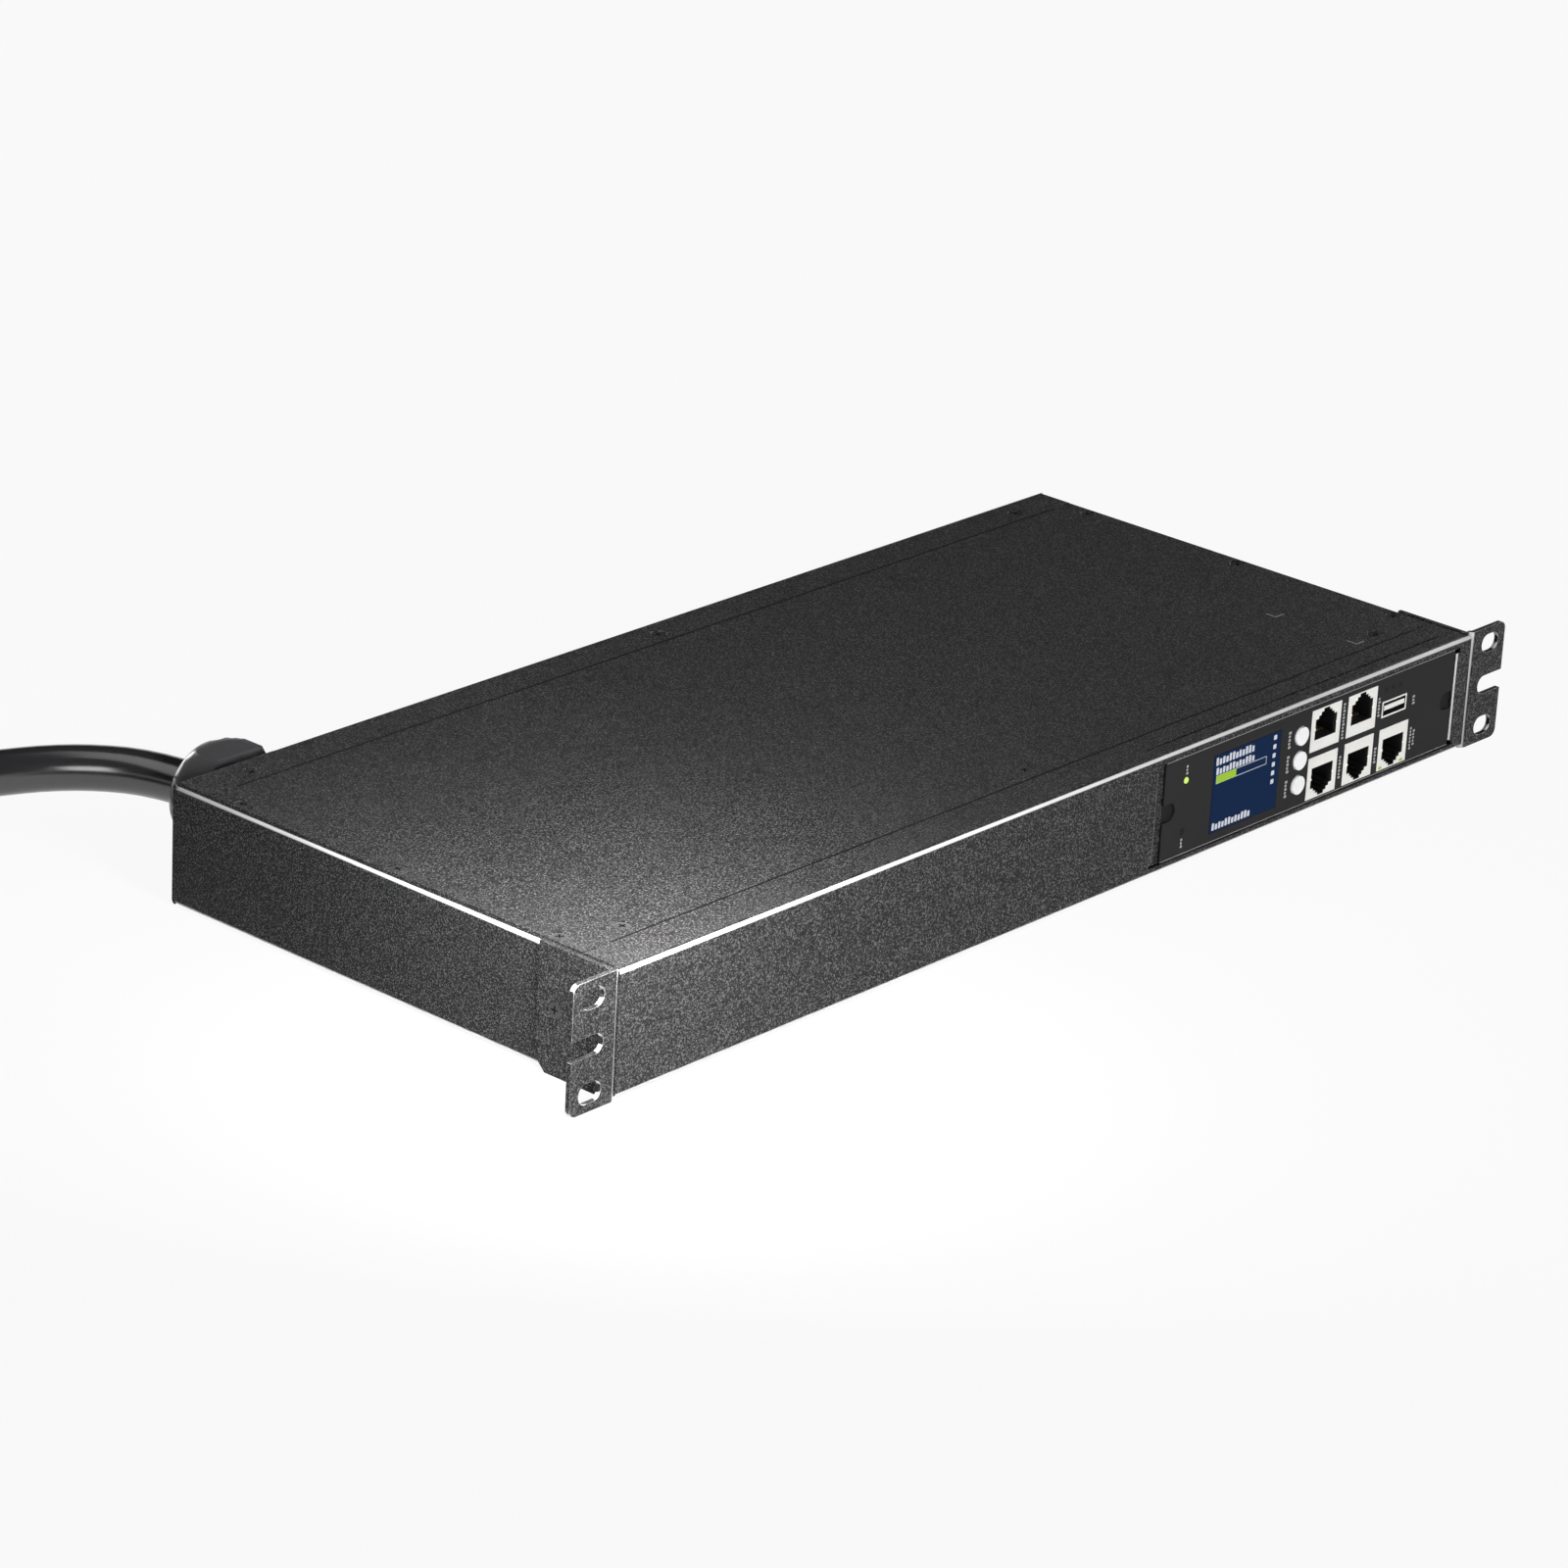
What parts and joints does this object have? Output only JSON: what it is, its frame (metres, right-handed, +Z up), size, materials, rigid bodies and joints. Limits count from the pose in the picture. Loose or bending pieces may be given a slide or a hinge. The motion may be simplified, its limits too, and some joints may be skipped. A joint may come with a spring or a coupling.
{
  "type": "rack power distribution unit",
  "caption": "Flat black steel rack unit with two ears, a front module with screen, buttons and jacks, rear outlets, and a mains cord from a gland.",
  "frame": {"origin": "centre of the rack ears' hole pattern, on the ears' back face, which lies on the rack rails", "axes": "+X along the rack width towards the module's end, +Y into the rack towards the outlets, +Z up"},
  "size_m": [0.7468, 0.3731, 0.0475],
  "materials": {
    "black_powder_coat": "fine textured black powder coat on steel",
    "black_steel": "blackened steel",
    "black_overlay": "smooth black overlay",
    "screen_glass": "lit blue screen under clear glass",
    "jack_plastic": "off-white face round a dark cavity, moulded",
    "port_metal": "plated shell",
    "button_plastic": "white, moulded",
    "light_pipe": "clear, lit yellow-green",
    "board_green": "solder mask on glass fibre",
    "post_brass": "turned",
    "outlet_plastic": "moulded",
    "breaker_plastic": "moulded",
    "stud_steel": "zinc plated",
    "stud_brass": "turned",
    "gland_nylon": "satin nylon",
    "seal_rubber": "soft",
    "cord_rubber": "round rubber jacket",
    "plug_nylon": "moulded",
    "blade_brass": "plated blades",
    "inner_plastic": "moulded",
    "capacitor_film": "moulded film capacitors",
    "bar_copper": "tinned copper bars"
  },
  "bodies": {
    "case": {"base_tray": "black_powder_coat", "front_panel": "black_powder_coat", "rear_panel": "black_powder_coat", "top_cover": "black_powder_coat", "left_ear": "black_powder_coat", "right_ear": "black_powder_coat", "module_carrier": "black_powder_coat", "case_screws": "black_steel", "ear_screws": "black_steel", "module_faceplate": "black_overlay", "screen": "screen_glass", "network_jack_1": "jack_plastic", "network_jack_2": "jack_plastic", "network_jack_3": "jack_plastic", "network_jack_4": "jack_plastic", "network_jack_5": "jack_plastic", "serial_port": "port_metal", "tactile_switches": "button_plastic", "status_light": "light_pipe", "controller_board": "board_green", "metering_board": "board_green", "supply_board": "board_green", "module_posts": "post_brass", "board_posts": "post_brass", "small_outlet_1": "outlet_plastic", "small_outlet_2": "outlet_plastic", "small_outlet_3": "outlet_plastic", "small_outlet_4": "outlet_plastic", "small_outlet_5": "outlet_plastic", "small_outlet_6": "outlet_plastic", "small_outlet_7": "outlet_plastic", "small_outlet_8": "outlet_plastic", "large_outlet_1": "outlet_plastic", "large_outlet_2": "outlet_plastic", "breaker_body_1": "breaker_plastic", "breaker_body_2": "breaker_plastic", "earth_stud": "stud_steel", "earth_nut": "stud_brass", "gland_body": "gland_nylon", "gland_dome_nut": "gland_nylon", "gland_lock_nut": "gland_nylon", "gland_seal": "seal_rubber", "mains_cord": "cord_rubber", "cord_coil": "cord_rubber", "cord_tail": "cord_rubber", "plug_cord_clamp": "plug_nylon", "plug_body": "plug_nylon", "plug_face": "plug_nylon", "plug_blades": "blade_brass", "terminal_block": "inner_plastic", "current_sensors": "inner_plastic", "supply_transformer": "inner_plastic", "supply_capacitors": "capacitor_film", "bus_bars": "bar_copper"},
    "menu_button_1": {"menu_button_1": "button_plastic"},
    "menu_button_2": {"menu_button_2": "button_plastic"},
    "menu_button_3": {"menu_button_3": "button_plastic"},
    "reset_plunger": {"reset_plunger": "button_plastic"},
    "breaker_rocker_1": {"breaker_rocker_1": "breaker_plastic"},
    "breaker_rocker_2": {"breaker_rocker_2": "breaker_plastic"}
  },
  "joints": [
    {"name": "menu_button_1_press", "type": "slide", "parent": "case", "child": "menu_button_1", "axis": [0, 1, 0], "range_m": [0, 0.0008], "stiffness_N_per_m": 1500},
    {"name": "menu_button_2_press", "type": "slide", "parent": "case", "child": "menu_button_2", "axis": [0, 1, 0], "range_m": [0, 0.0008], "stiffness_N_per_m": 1500},
    {"name": "menu_button_3_press", "type": "slide", "parent": "case", "child": "menu_button_3", "axis": [0, 1, 0], "range_m": [0, 0.0008], "stiffness_N_per_m": 1500},
    {"name": "reset_press", "type": "slide", "parent": "case", "child": "reset_plunger", "axis": [0, 1, 0], "range_m": [0, 0.0005], "stiffness_N_per_m": 1500},
    {"name": "breaker_rocker_1_tilt", "type": "hinge", "parent": "case", "child": "breaker_rocker_1", "pos_m": [-0.145, 0.1963, 0], "axis": [1, 0, 0], "range_deg": [0, 24]},
    {"name": "breaker_rocker_2_tilt", "type": "hinge", "parent": "case", "child": "breaker_rocker_2", "pos_m": [0.04, 0.1963, 0], "axis": [1, 0, 0], "range_deg": [0, 24]}
  ]
}
